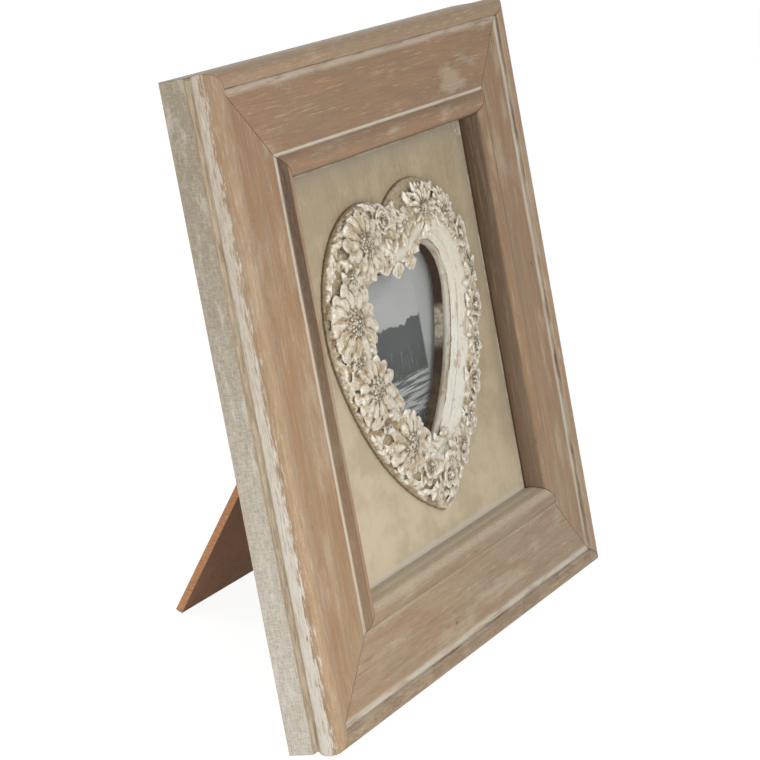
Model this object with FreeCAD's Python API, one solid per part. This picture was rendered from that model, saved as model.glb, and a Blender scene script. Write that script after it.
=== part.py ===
import FreeCAD
import Part
import math
import os

# Free-standing photo frame: four mitred mouldings round a sunk panel that carries a heart casting.
# All lengths are in millimetres and all angles in degrees.
# The frame is built upright, with across, up and front as its own three directions, and leaned back last.

# Overrun of every cut
overrun = 5.0

# Moulding section, measured inward from the outermost edge and forward from the back plane
side_setback = 0.6
side_depth = 10.0
cove_depth = 3.0
cove_sink = 0.8
bead_swell_front = 17.0
bead_shoulder_in = 0.7
bead_shoulder_front = 21.0
bead_crest_in = 2.7
bead_crest_front = 23.0
bead_foot_in = 7.2
bead_foot_front = 20.8
band_end_in = 35.3
band_end_front = 21.5
roll_crest_in = 40.3
roll_crest_front = 24.0
roll_end_in = 43.7
roll_end_front = 22.0
wall_mid_in = 44.9
wall_mid_front = 18.9
wall_foot_in = 45.4
wall_foot_front = 15.9
sight_in = 45.1
rebate_in = 38.0
rebate_front = 13.3

# Corner nails, pressed in from the back across each mitre
nail_leg = 5.0
nail_thickness = 0.6
nail_length = 9.0
nail_set = 0.5
nail_first_in = 10.0
nail_second_in = 25.0

# Flat layers in the rebate, from the front to the back
layer_side_gap = 0.5
panel_thickness = 4.0
glass_thickness = 2.0
print_side_margin = 40.5
print_end_margin = 10.5
print_thickness = 0.25
backboard_thickness = 3.0
backboard_set = 0.2

# Bare panel left round the heart inside the mouldings
panel_side_margin = 17.6
panel_top_margin = 16.9
panel_bottom_margin = 11.4

# Heart casting, drawn round the point where it is turned
heart_across = 1.1
heart_turn = 3.5
lobe_offset = 22.9
lobe_rise = 23.6
lobe_radius = 44.4
side_radius = 115.0
tip_drop = 63.5
notch_radius = 2.0
ring_width = 27.0
panel_hole_gap = 0.4
rim_height = 2.0
lip_height = 1.5
shoulder_in = 4.0
shoulder_height = 4.2
slope_in = 10.0
slope_height = 5.6
crown_in = 17.0
crown_height = 6.6
bevel_in = 20.0
flower_edge_gap = 0.3
flower_seat_height = 5.0
flower_relief = 2.6
flower_root = 7.0
centre_relief = 1.2
flower_top_share = 0.8
centre_share = 0.3

# Flowers round the ring: place along its middle line, shift outward, radius as shares, and tilt in degrees
flower_shares = [
    (0.045, 0.10, 0.26, 4.0),
    (0.103, 0.05, 0.42, 5.0),
    (0.158, 0.14, 0.34, 6.0),
    (0.205, 0.10, 0.28, 4.0),
    (0.250, 0.12, 0.26, 4.0),
    (0.292, 0.12, 0.26, 4.0),
    (0.335, 0.08, 0.24, 2.0),
    (0.378, 0.08, 0.26, 2.0),
    (0.425, 0.05, 0.27, 2.0),
    (0.475, 0.03, 0.28, 3.0),
    (0.525, 0.00, 0.32, 4.0),
    (0.578, 0.04, 0.30, 6.0),
    (0.635, 0.05, 0.42, 10.0),
    (0.690, 0.14, 0.22, 10.0),
    (0.735, 0.08, 0.44, 13.0),
    (0.778, 0.14, 0.26, 12.0),
    (0.820, 0.07, 0.50, 15.0),
    (0.872, 0.06, 0.32, 12.0),
    (0.925, 0.02, 0.44, 10.0),
    (0.978, 0.20, 0.24, 5.0),
]

# Back leg
leg_thickness = 3.0
leg_length = 146.6
leg_top_reach = 9.0
leg_foot_width = 74.0
leg_top_width = 46.0
leg_opening = 36.7
stop_gap = 0.05

# Hinge of the back leg
hinge_up = 149.0
hinge_width = 36.0
knuckle_radius = 1.6
middle_knuckle_width = 13.6
knuckle_end_gap = 0.2
knuckle_wall_gap = 0.3
pin_radius = 0.8
pin_fit_gap = 0.05
pin_head_radius = 1.3
pin_head_height = 0.6
pin_head_gap = 0.1
leaf_thickness = 0.8
leaf_height = 16.0
leaf_clear = 2.3
rivet_drop = 9.5
rivet_spacing = 22.0
rivet_radius = 1.1
rivet_gap = 0.05
rivet_head_radius = 2.0
rivet_head_height = 0.6
rivet_tail_height = 0.7
rivet_tail_gap = 0.3

# Turn buttons on the stiles, with their screws
button_length = 18.0
button_width = 7.0
button_thickness = 1.0
button_gap = 0.05
button_pivot_in = 32.0
button_end_distance = 68.0
button_fit_gap = 0.05
screw_radius = 1.25
screw_length = 9.0
screw_head_radius = 2.8
screw_head_height = 1.4
screw_head_crown = 0.4
screw_slot_width = 0.7
screw_slot_depth = 0.6

# The mouldings run round the panel, and the panel round the heart.
half_width = sight_in + panel_side_margin + lobe_offset + lobe_radius
heart_up = sight_in + panel_bottom_margin + tip_drop
frame_width = 2 * half_width
frame_height = heart_up + lobe_rise + lobe_radius + panel_top_margin + sight_in
half_height = frame_height / 2


def at(across, up, front):
    return FreeCAD.Vector(across, -front, up)


across_way = at(1, 0, 0)
up_way = at(0, 1, 0)
front_way = at(0, 0, 1)


def block(across_low, across_high, up_low, up_high, front_low, front_high):
    size = (across_high - across_low, front_high - front_low, up_high - up_low)
    return Part.makeBox(*size, at(across_low, up_low, front_high))


def centred_block(width, height, middle_up, front_low, front_high):
    return block(-width / 2, width / 2, middle_up - height / 2, middle_up + height / 2, front_low, front_high)


def rod(radius, across, up, front_low, front_high):
    return Part.makeCylinder(radius, front_high - front_low, at(across, up, front_low), front_way)


def cross_rod(radius, across_low, across_high, up, front):
    return Part.makeCylinder(radius, across_high - across_low, at(across_low, up, front), across_way)


def prism(points, front_low, front_high):
    corners = [at(across, up, front_low) for across, up in points]
    face = Part.Face(Part.makePolygon(corners + corners[:1]))
    return face.extrude(front_way * (front_high - front_low))


# Mouldings

def section_point(inward, front):
    return at(inward - half_width, 0, front)


def line(start, end):
    return Part.LineSegment(start, end).toShape()


def curve(start, middle, end):
    return Part.Arc(start, middle, end).toShape()


def moulding_section():
    cove_end = side_depth + cove_depth
    back_outer = section_point(side_setback, 0)
    side_top = section_point(side_setback, side_depth)
    cove_low = section_point(side_setback + cove_sink, side_depth + cove_depth / 2)
    cove_top = section_point(side_setback, cove_end)
    swell = section_point(0, bead_swell_front)
    shoulder = section_point(bead_shoulder_in, bead_shoulder_front)
    bead_crest = section_point(bead_crest_in, bead_crest_front)
    bead_foot = section_point(bead_foot_in, bead_foot_front)
    band_end = section_point(band_end_in, band_end_front)
    roll_crest = section_point(roll_crest_in, roll_crest_front)
    roll_end = section_point(roll_end_in, roll_end_front)
    wall_mid = section_point(wall_mid_in, wall_mid_front)
    wall_foot = section_point(wall_foot_in, wall_foot_front)
    sight = section_point(sight_in, rebate_front)
    rebate_corner = section_point(rebate_in, rebate_front)
    rebate_back = section_point(rebate_in, 0)
    edges = [
        line(back_outer, side_top),
        curve(side_top, cove_low, cove_top),
        curve(cove_top, swell, shoulder),
        curve(shoulder, bead_crest, bead_foot),
        line(bead_foot, band_end),
        curve(band_end, roll_crest, roll_end),
        curve(roll_end, wall_mid, wall_foot),
        line(wall_foot, sight),
        line(sight, rebate_corner),
        line(rebate_corner, rebate_back),
        line(rebate_back, back_outer),
    ]
    return Part.Face(Part.Wire(edges))


def mitre_space(half_span, half_length):
    reach = wall_foot_in + overrun
    outer = -half_span - overrun
    inner = reach - half_span
    points = [
        (outer, -half_length - overrun),
        (outer, half_length + overrun),
        (inner, half_length - reach),
        (inner, reach - half_length),
    ]
    return prism(points, -overrun, roll_crest_front + overrun)


def moulding(half_span, half_length, turn):
    stick = moulding_section().extrude(up_way * (2 * half_length))
    stick.translate(at(half_width - half_span, -half_length, 0))
    piece = stick.common(mitre_space(half_span, half_length))
    piece.rotate(at(0, 0, 0), at(0, 0, -1), turn)
    piece.translate(at(0, half_height, 0))
    return piece


def nail(across, up, way_across, way_up, front_low, front_high):
    ends = sorted([across, across + way_across * nail_leg])
    sides = sorted([across, across + way_across * nail_thickness])
    heights = sorted([up, up + way_up * nail_leg])
    feet = sorted([up, up + way_up * nail_thickness])
    flat = block(ends[0], ends[1], feet[0], feet[1], front_low, front_high)
    post = block(sides[0], sides[1], heights[0], heights[1], front_low, front_high)
    return flat.fuse(post).removeSplitter()


def corner_nails(front_low, front_high):
    nails = []
    for way_across in (-1, 1):
        for way_up in (-1, 1):
            for inward in (nail_first_in, nail_second_in):
                across = way_across * (half_width - inward)
                up = half_height + way_up * (half_height - inward)
                nails.append(nail(across, up, -way_across, -way_up, front_low, front_high))
    return nails


# Heart outline, drawn at any inset from the outer edge of the casting

def heart_point(across, up, front):
    turn = math.radians(heart_turn)
    turned_across = across * math.cos(turn) - up * math.sin(turn)
    turned_up = across * math.sin(turn) + up * math.cos(turn)
    return at(heart_across + turned_across, heart_up + turned_up, front)


def side_centre():
    # The side arc runs inside the lobe circle and ends at the tip on the middle line.
    reach = side_radius - lobe_radius
    gap_up = lobe_rise + tip_drop
    gap = math.hypot(lobe_offset, gap_up)
    along = (side_radius ** 2 - reach ** 2 + gap ** 2) / (2 * gap)
    aside = math.sqrt(side_radius ** 2 - along ** 2)
    unit_across = lobe_offset / gap
    unit_up = gap_up / gap
    return (along * unit_across - aside * unit_up, along * unit_up + aside * unit_across - tip_drop)


def circle_point(centre, radius, angle):
    return (centre[0] + radius * math.cos(angle), centre[1] + radius * math.sin(angle))


def heart_half(inset):
    notch_reach = lobe_radius + notch_radius
    notch = (0, lobe_rise + math.sqrt(notch_reach ** 2 - lobe_offset ** 2))
    lobe = (lobe_offset, lobe_rise)
    side = side_centre()
    lobe_start = math.atan2(notch[1] - lobe[1], -lobe_offset)
    lobe_end = math.atan2(lobe[1] - side[1], lobe[0] - side[0])
    tip_up = side[1] - math.sqrt((side_radius - inset) ** 2 - side[0] ** 2)
    tip_angle = math.atan2(tip_up - side[1], -side[0])
    inner_lobe = lobe_radius - inset
    inner_side = side_radius - inset
    return {
        "notch": (0, notch[1] - notch_radius - inset),
        "lobe_start": circle_point(lobe, inner_lobe, lobe_start),
        "lobe_middle": circle_point(lobe, inner_lobe, (lobe_start + lobe_end) / 2),
        "lobe_end": circle_point(lobe, inner_lobe, lobe_end),
        "side_middle": circle_point(side, inner_side, (lobe_end + tip_angle) / 2),
        "tip": (0, tip_up),
    }


def heart_wire(inset, front):
    half = heart_half(inset)
    right = {name: heart_point(place[0], place[1], front) for name, place in half.items()}
    left = {name: heart_point(-place[0], place[1], front) for name, place in half.items()}
    edges = [
        curve(left["lobe_start"], right["notch"], right["lobe_start"]),
        curve(right["lobe_start"], right["lobe_middle"], right["lobe_end"]),
        curve(right["lobe_end"], right["side_middle"], right["tip"]),
        curve(right["tip"], left["side_middle"], left["lobe_end"]),
        curve(left["lobe_end"], left["lobe_middle"], left["lobe_start"]),
    ]
    return Part.Wire(edges)


def heart_prism(inset, front_low, front_high):
    return Part.Face(heart_wire(inset, front_low)).extrude(front_way * (front_high - front_low))


def heart_stack(levels):
    wires = [heart_wire(inset, rebate_front + height) for inset, height in levels]
    return Part.makeLoft(wires, True, True)


def flower(place, way_out, shift, radius, tilt):
    lean_out = math.radians(tilt)
    facing = front_way * math.cos(lean_out) + way_out * math.sin(lean_out)
    seat = place + way_out * shift
    root = seat - facing * flower_root
    disc = Part.makeCone(radius, radius * flower_top_share, flower_root + flower_relief, root, facing)
    button = Part.makeCylinder(radius * centre_share, flower_root + flower_relief + centre_relief, root, facing)
    return disc.fuse(button)


def flower_band():
    middle = heart_wire(ring_width / 2, rebate_front + flower_seat_height)
    flowers = []
    for along, shift, size, tilt in flower_shares:
        here = middle.Length * along
        before, place, after = [path_point(middle, here + step) for step in (-nail_leg, 0, nail_leg)]
        way_out = (after - before).cross(front_way).normalize()
        flowers.append(flower(place, way_out, shift * ring_width, size * ring_width, tilt))
    top = rebate_front + crown_height + frame_height
    space = heart_prism(flower_edge_gap, rebate_front + lip_height, top)
    space = space.cut(heart_prism(ring_width - flower_edge_gap, 0, top + overrun))
    band = flowers[0].multiFuse(flowers[1:])
    return band.common(space)


def path_point(path, distance):
    left = distance % path.Length
    for edge in path.OrderedEdges:
        if left <= edge.Length:
            return path_edge_point(edge, left)
        left = left - edge.Length
    return path_edge_point(path.OrderedEdges[-1], path.OrderedEdges[-1].Length)


def path_edge_point(edge, distance):
    if edge.Orientation == "Reversed":
        return edge.valueAt(edge.getParameterByLength(edge.Length - distance))
    return edge.valueAt(edge.getParameterByLength(distance))


def heart_surround():
    levels = [
        (0, 0),
        (0, rim_height),
        (shoulder_in, shoulder_height),
        (slope_in, slope_height),
        (crown_in, crown_height),
    ]
    window = heart_prism(ring_width, 0, rebate_front + lip_height)
    bevel = heart_stack([(ring_width, lip_height), (bevel_in, crown_height), (bevel_in, crown_height + overrun)])
    body = heart_stack(levels).cut(window).cut(bevel)
    return body.fuse(flower_band())


# Flat layers in the rebate

layer_width = frame_width - 2 * (rebate_in + layer_side_gap)
layer_height = frame_height - 2 * (rebate_in + layer_side_gap)
panel_back = rebate_front - panel_thickness
glass_back = panel_back - glass_thickness
print_back = glass_back - print_thickness
backboard_front = backboard_set + backboard_thickness


def layer(front_low, thickness):
    return centred_block(layer_width, layer_height, half_height, front_low, front_low + thickness)


def photo_print():
    width = layer_width - 2 * print_side_margin
    height = layer_height - 2 * print_end_margin
    return centred_block(width, height, half_height, print_back, glass_back)


def heart_panel():
    hole = heart_prism(ring_width - panel_hole_gap, 0, rebate_front + overrun)
    return layer(panel_back, panel_thickness).cut(hole)


# Hinge and back leg, drawn with the leg folded flat against the back

hinge_front = backboard_set - knuckle_wall_gap - knuckle_radius
leaf_back = backboard_set - leaf_thickness
leg_front = hinge_front - knuckle_radius - knuckle_wall_gap
leg_back = leg_front - leg_thickness
middle_half = middle_knuckle_width / 2
outer_start = middle_half + knuckle_end_gap
hinge_half = hinge_width / 2
rivet_up = hinge_up - rivet_drop
rivet_places = (-rivet_spacing / 2, rivet_spacing / 2)
leaf_low = hinge_up - leaf_height
leaf_high = hinge_up - leaf_clear


def knuckle(across_low, across_high, front_low, front_high):
    tube = cross_rod(knuckle_radius, across_low, across_high, hinge_up, hinge_front)
    tongue = block(across_low, across_high, leaf_high, hinge_up, front_low, front_high)
    bore = cross_rod(pin_radius + pin_fit_gap, across_low - overrun, across_high + overrun, hinge_up, hinge_front)
    return tube.fuse(tongue).cut(bore)


def leaf(front_low, front_high, spans):
    plate = block(-hinge_half, hinge_half, leaf_low, leaf_high, front_low, front_high)
    knuckles = [knuckle(low, high, front_low, front_high) for low, high in spans]
    plate = plate.multiFuse(knuckles).removeSplitter()
    return drill_rivets(plate, front_low - overrun, front_high + overrun)


def drill_rivets(piece, front_low, front_high):
    holes = [rod(rivet_radius + rivet_gap, across, rivet_up, front_low, front_high) for across in rivet_places]
    return piece.cut(Part.makeCompound(holes))


def backboard_leaf():
    return leaf(leaf_back, backboard_set, [(-hinge_half, -outer_start), (outer_start, hinge_half)])


def leg_leaf():
    return leaf(leg_front, leg_front + leaf_thickness, [(-middle_half, middle_half)])


def hinge_pin():
    end = hinge_half + pin_head_gap
    pin = cross_rod(pin_radius, -end, end, hinge_up, hinge_front)
    left_head = cross_rod(pin_head_radius, -end - pin_head_height, -end, hinge_up, hinge_front)
    right_head = cross_rod(pin_head_radius, end, end + pin_head_height, hinge_up, hinge_front)
    return pin.fuse(left_head).fuse(right_head)


def backboard():
    board = drill_rivets(layer(backboard_set, backboard_thickness), -overrun, backboard_front + overrun)
    seat_radius = rivet_head_radius + rivet_tail_gap
    seat_back = backboard_front - rivet_tail_height
    seats = [rod(seat_radius, across, rivet_up, seat_back, backboard_front + overrun) for across in rivet_places]
    return board.cut(Part.makeCompound(seats))


def rivets(front_low, front_high, low_head, high_head):
    made = []
    for across in rivet_places:
        shank = rod(rivet_radius, across, rivet_up, front_low, front_high)
        low = rod(rivet_head_radius, across, rivet_up, front_low - low_head, front_low)
        high = rod(rivet_head_radius, across, rivet_up, front_high, front_high + high_head)
        made.append(shank.fuse(low).fuse(high))
    return made


def leg_blank():
    points = [
        (-leg_foot_width / 2, hinge_up - leg_length),
        (leg_foot_width / 2, hinge_up - leg_length),
        (leg_top_width / 2, hinge_up + leg_top_reach),
        (-leg_top_width / 2, hinge_up + leg_top_reach),
    ]
    return drill_rivets(prism(points, leg_back, leg_front), leg_back - overrun, leg_front + overrun)


def open_leg(piece):
    opened = piece.copy()
    opened.rotate(at(0, hinge_up, hinge_front), across_way, leg_opening)
    return opened


def easel_leg():
    # The top end is bevelled where it rests on the backboard.
    stop = block(-half_width, half_width, 0, frame_height, backboard_set - stop_gap, roll_crest_front)
    return open_leg(leg_blank()).cut(stop)


# Turn buttons

button_high_up = frame_height - button_end_distance
button_places = [
    (-1, button_high_up),
    (1, button_high_up),
    (-1, button_end_distance),
    (1, button_end_distance),
]


def turn_button(side, up):
    radius = button_width / 2
    back = -button_gap - button_thickness
    pivot = side * (half_width - button_pivot_in)
    tip = pivot - side * (button_length - button_width)
    low, high = sorted([pivot, tip])
    bar = block(low, high, up - radius, up + radius, back, -button_gap)
    bar = bar.fuse(rod(radius, low, up, back, -button_gap)).fuse(rod(radius, high, up, back, -button_gap))
    bore = rod(screw_radius + button_fit_gap, pivot, up, back - overrun, overrun)
    return bar.removeSplitter().cut(bore)


def screw_shank(side, up):
    across = side * (half_width - button_pivot_in)
    return rod(screw_radius, across, up, -2 * button_gap - button_thickness, screw_length)


def turn_button_screw(side, up):
    across = side * (half_width - button_pivot_in)
    under = -2 * button_gap - button_thickness
    rim = under - screw_head_height + screw_head_crown
    top = under - screw_head_height
    head = rod(screw_head_radius, across, up, rim, under)
    crown_radius = screw_head_radius - screw_head_crown
    crown = Part.makeCone(screw_head_radius, crown_radius, screw_head_crown, at(across, up, rim), -front_way)
    half_slot = screw_slot_width / 2
    reach = screw_head_radius + overrun
    slot = block(across - reach, across + reach, up - half_slot, up + half_slot, top - overrun, top + screw_slot_depth)
    return screw_shank(side, up).fuse(head).fuse(crown).cut(slot)


# Assembly in the frame's own directions

def drilled(piece):
    shanks = [screw_shank(side, up) for side, up in button_places]
    return piece.cut(Part.makeCompound(shanks))


def nailed(piece):
    return piece.cut(Part.makeCompound(corner_nails(-overrun, nail_set + nail_length)))


parts = {
    "left_stile": drilled(nailed(moulding(half_width, half_height, 0))),
    "right_stile": drilled(nailed(moulding(half_width, half_height, 180))),
    "top_rail": nailed(moulding(half_height, half_width, 90)),
    "bottom_rail": nailed(moulding(half_height, half_width, 270)),
    "corner_v_nails": Part.makeCompound(corner_nails(nail_set, nail_set + nail_length)),
    "heart_panel": heart_panel(),
    "heart_surround": heart_surround(),
    "glass_pane": layer(glass_back, glass_thickness),
    "photo_print": photo_print(),
    "backing_card": layer(backboard_front, print_back - backboard_front),
    "backboard": backboard(),
    "backboard_leaf": backboard_leaf(),
    "hinge_pin": hinge_pin(),
    "backboard_rivets": Part.makeCompound(
        rivets(leaf_back, backboard_front - rivet_tail_height, rivet_head_height, rivet_tail_height)
    ),
    "easel_leg": easel_leg(),
    "leg_leaf": open_leg(leg_leaf()),
    "leg_rivets": open_leg(
        Part.makeCompound(rivets(leg_back, leg_front + leaf_thickness, rivet_head_height, rivet_head_height))
    ),
    "turn_button_screws": Part.makeCompound([turn_button_screw(side, up) for side, up in button_places]),
}
for number, (side, up) in enumerate(button_places, 1):
    parts[f"turn_button_{number}"] = turn_button(side, up)

# The frame stands on the lower back edge of the bottom rail and on the front edge of the leg's foot.
foot = at(0, hinge_up - leg_length, leg_front)
opening = FreeCAD.Rotation(across_way, leg_opening)
pivot = at(0, hinge_up, hinge_front)
foot = pivot + opening.multVec(foot - pivot)
back_lean = math.degrees(math.atan2(foot.z - side_setback, foot.y))

for piece in parts.values():
    piece.rotate(at(0, 0, 0), across_way, -back_lean)

# The origin is the bottom centre of the standing object.
bounds = Part.makeCompound(list(parts.values())).optimalBoundingBox(False, False)
shift = FreeCAD.Vector(-bounds.Center.x, -bounds.Center.y, -bounds.ZMin)

os.makedirs("parts", exist_ok=True)
for name, piece in parts.items():
    piece.translate(shift)
    piece.exportStep(f"parts/{name}.step")
    print(name, len(piece.Solids), "solids, valid", piece.isValid(), "volume", round(piece.Volume, 1))

print("lean", round(back_lean, 3), "shift", tuple(round(value, 3) for value in shift))
print("size", round(bounds.XLength, 2), round(bounds.YLength, 2), round(bounds.ZLength, 2))
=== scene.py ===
import math
import random

import bmesh
import bpy
from mathutils import Matrix, Vector
from mathutils.kdtree import KDTree
from mathutils.noise import fractal


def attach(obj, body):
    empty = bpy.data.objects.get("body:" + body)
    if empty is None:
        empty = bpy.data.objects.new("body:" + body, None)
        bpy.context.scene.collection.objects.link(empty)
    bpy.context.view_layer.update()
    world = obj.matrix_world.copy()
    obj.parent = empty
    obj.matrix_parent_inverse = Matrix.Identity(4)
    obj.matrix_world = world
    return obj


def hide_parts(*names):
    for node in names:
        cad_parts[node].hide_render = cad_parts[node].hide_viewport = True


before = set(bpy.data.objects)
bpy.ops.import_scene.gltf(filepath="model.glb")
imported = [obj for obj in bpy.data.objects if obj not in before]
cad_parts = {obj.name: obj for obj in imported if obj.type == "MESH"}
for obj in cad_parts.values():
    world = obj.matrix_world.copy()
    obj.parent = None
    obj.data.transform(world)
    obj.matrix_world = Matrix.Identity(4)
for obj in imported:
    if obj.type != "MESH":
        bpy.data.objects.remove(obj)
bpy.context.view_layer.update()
print("frame loaded:", len(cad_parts), "nodes")

# The frame's own directions, in millimetres: across, up along the frame, front out of the panel
framePlace = {
    "lean": 19.404,
    "shift": (0.0, -0.039286, -0.000566),
    "halfWidth": 130.0,
    "height": 250.0,
    "middle": 125.0,
    "panelFront": 13.3,
    "legOpening": 36.7,
}


def frameMatrix():
    lean = Matrix.Rotation(math.radians(-framePlace["lean"]), 4, "X")
    axes = Matrix(((1, 0, 0, 0), (0, 0, -1, 0), (0, 1, 0, 0), (0, 0, 0, 1)))  # across, up, front to x, -y, z
    return Matrix.Translation(framePlace["shift"]) @ lean @ Matrix.Scale(0.001, 4) @ axes


def addObject(name, data):
    made = bpy.data.objects.new(name, data)
    bpy.context.collection.objects.link(made)
    return made


def meshFrom(shape, name):
    mesh = bpy.data.meshes.new(name)
    shape.to_mesh(mesh)
    shape.free()
    return mesh


# Short ways to build node trees. A value is a number, a colour or the socket that gives it, and a node made by
# chain goes into the tree of the first socket that feeds it.

def linear(value):
    value = value / 255
    return value / 12.92 if value <= 0.04045 else ((value + 0.055) / 1.055) ** 2.4


def shade(red, green, blue):
    return (linear(red), linear(green), linear(blue), 1.0)


def feed(node, values):
    for name, value in values.items():
        if isinstance(value, bpy.types.NodeSocket):
            node.id_data.links.new(value, node.inputs[name])
        else:
            node.inputs[name].default_value = value
    return node


def put(tree, kind, values=None, **settings):
    node = tree.nodes.new(kind)
    for name, value in settings.items():
        setattr(node, name, value)
    return feed(node, values or {})


def chain(kind, values, **settings):
    tree = next(value for value in values.values() if isinstance(value, bpy.types.NodeSocket)).id_data
    return put(tree, kind, values, **settings)


def maths(operation, *values):
    result = values[0]
    for value in values[1:] or (0.0,):
        result = chain("ShaderNodeMath", {0: result, 1: value}, operation=operation).outputs[0]
    return result


def plus(*terms):
    return maths("ADD", *terms)


def minus(first, second):
    return maths("SUBTRACT", first, second)


def times(*factors):
    return maths("MULTIPLY", *factors) if len(factors) > 1 else factors[0]


def fade(value, low, high, lowOut=0.0, highOut=1.0):
    values = {"Value": value, "From Min": low, "From Max": high, "To Min": lowOut, "To Max": highOut}
    return chain("ShaderNodeMapRange", values, interpolation_type="SMOOTHSTEP").outputs[0]


def stripe(value, centre, half, soft):  # 1 inside the stripe, 0 outside
    return fade(maths("ABSOLUTE", minus(value, centre)), half, half + soft, 1.0, 0.0)


def coat(under, tone, *masks, blend="MIX"):  # the tone over what is under it, as far as the masks let it show
    values = {0: times(*masks), 6: under, 7: tone}
    return chain("ShaderNodeMix", values, data_type="RGBA", blend_type=blend).outputs[2]


def noise(place, scale, detail=3.0, rough=0.55):
    values = {"Vector": place, "Scale": scale, "Detail": detail, "Roughness": rough}
    return chain("ShaderNodeTexNoise", values).outputs["Fac"]


def stretched(place, scale, location=(0, 0, 0)):
    return chain("ShaderNodeMapping", {"Vector": place, "Scale": scale, "Location": location}).outputs[0]


def grained(place, scale, detail, rough=0.55, location=(0, 0, 0)):
    return noise(stretched(place, scale, location), 1.0, detail, rough)


def cells(place, scale):
    return chain("ShaderNodeTexVoronoi", {"Vector": place, "Scale": scale}).outputs["Distance"]


def split(vector):
    return chain("ShaderNodeSeparateXYZ", {0: vector}).outputs


def combine(*parts):
    return chain("ShaderNodeCombineXYZ", dict(enumerate(parts))).outputs[0]


def ramp(value, stops):
    node = chain("ShaderNodeValToRGB", {"Fac": value})
    while len(node.color_ramp.elements) < len(stops):
        node.color_ramp.elements.new(0.5)
    for element, (position, colour) in zip(node.color_ramp.elements, stops):
        element.position = position
        element.color = colour
    return node.outputs["Color"]


def newGroup(name, inputs, outputs):
    group = bpy.data.node_groups.new(name, "ShaderNodeTree")
    for way, sockets in (("INPUT", inputs), ("OUTPUT", outputs)):
        for socketName in sockets:
            kind = "NodeSocketVector" if socketName in ("Place", "Run") else "NodeSocketFloat"
            group.interface.new_socket(socketName, in_out=way, socket_type=kind)
    return group, put(group, "NodeGroupInput").outputs, put(group, "NodeGroupOutput")


def useGroup(group, values):
    return chain("ShaderNodeGroup", values, node_tree=group).outputs


def blankTree(owner):
    owner.use_nodes = True
    owner.node_tree.nodes.clear()
    return owner.node_tree


def newMaterial(name, values):  # with the point's place in the frame's own millimetres: across, back, up
    material = bpy.data.materials.new(name)
    tree = blankTree(material)
    shader = put(tree, "ShaderNodeBsdfPrincipled", values)
    put(tree, "ShaderNodeOutputMaterial", {"Surface": shader.outputs[0]})
    values = {
        "Vector": put(tree, "ShaderNodeTexCoord").outputs["Object"],
        "Location": framePlace["shift"],
        "Rotation": (math.radians(-framePlace["lean"]), 0, 0),
        "Scale": (0.001, 0.001, 0.001),
    }
    return material, shader, chain("ShaderNodeMapping", values, vector_type="TEXTURE").outputs[0]


def addBump(shader, height, distance, strength=1.0):
    values = {"Height": height, "Distance": distance, "Strength": strength}
    feed(shader, {"Normal": chain("ShaderNodeBump", values).outputs[0]})


# Effects shared by several finishes

boardShift = {"stile": 2900.0, "right": 1211.0, "upper": 673.0}  # so far apart that no two boards share their grain


def buildMouldingPlace():
    outputs = ["Inward", "Front", "Run", "Mitre", "Across", "Up", "Stile"]
    group, given, result = newGroup("mouldingPlace", ["Place"], outputs)
    across, back, up = split(given["Place"])
    front = times(back, -1.0)
    sideGap = minus(framePlace["halfWidth"], maths("ABSOLUTE", across))
    endGap = maths("MINIMUM", up, minus(framePlace["height"], up))
    inward = maths("MINIMUM", sideGap, endGap)
    stile = maths("LESS_THAN", sideGap, endGap)
    along = plus(times(stile, up), times(minus(1.0, stile), across))
    rightBoard = times(stile, maths("GREATER_THAN", across, 0.0), boardShift["right"])
    upperBoard = times(minus(1.0, stile), maths("GREATER_THAN", up, framePlace["middle"]), boardShift["upper"])
    longWay = plus(along, times(stile, boardShift["stile"]), plus(rightBoard, upperBoard))
    run = combine(longWay, inward, front)
    mitre = stripe(minus(sideGap, endGap), 0.0, 0.1, 0.25)
    feed(result, dict(zip(outputs, (inward, front, run, mitre, across, up, stile))))
    return group


def buildWoodGrain():
    outputs = ["Streak", "Fine", "Pores"]
    group, given, result = newGroup("woodGrain", ["Run"], outputs)
    bend = grained(given["Run"], (0.02, 0.05, 0.05), 2.0)
    shift = combine(0.0, times(bend, 3.4), times(bend, 1.5))
    way = chain("ShaderNodeVectorMath", {0: given["Run"], 1: shift}, operation="ADD").outputs[0]
    streak = grained(way, (0.016, 0.32, 0.3), 4.0, 0.6)
    fine = grained(way, (0.26, 2.3, 2.2), 5.0, 0.8)
    pores = fade(grained(way, (0.16, 3.1, 3.0), 2.0, location=(7, 3, 1)), 0.60, 0.72)
    feed(result, dict(zip(outputs, (streak, fine, pores))))
    return group


def buildWash():
    group, given, result = newGroup("wornWash", ["Run", "Amount"], ["Mask"])
    patch = grained(given["Run"], (0.03, 0.12, 0.12), 4.0, 0.6, (3, 9, 4))
    brush = grained(given["Run"], (0.11, 1.9, 1.9), 4.0, 0.7, (2, 5, 8))
    grit = noise(given["Run"], 1.4, 3.0, 0.7)
    level = plus(times(patch, 0.45), times(brush, 0.40), times(grit, 0.15), minus(given["Amount"], 0.5))
    feed(result, {"Mask": fade(level, 0.42, 0.62)})
    return group


def buildLinen():
    group, given, result = newGroup("brushedPaint", ["Run"], ["Mask"])
    long = grained(given["Run"], (0.22, 1.6, 2.2), 4.0, 0.7)
    cross = grained(given["Run"], (1.9, 0.5, 0.45), 4.0, 0.7, (5, 1, 2))
    feed(result, {"Mask": fade(plus(times(long, 0.55), times(cross, 0.45)), 0.36, 0.66)})
    return group


mouldingPlace = buildMouldingPlace()
woodGrain = buildWoodGrain()
wornWash = buildWash()
brushedPaint = buildLinen()

# Mouldings: brown stain under a worn white wash

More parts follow.
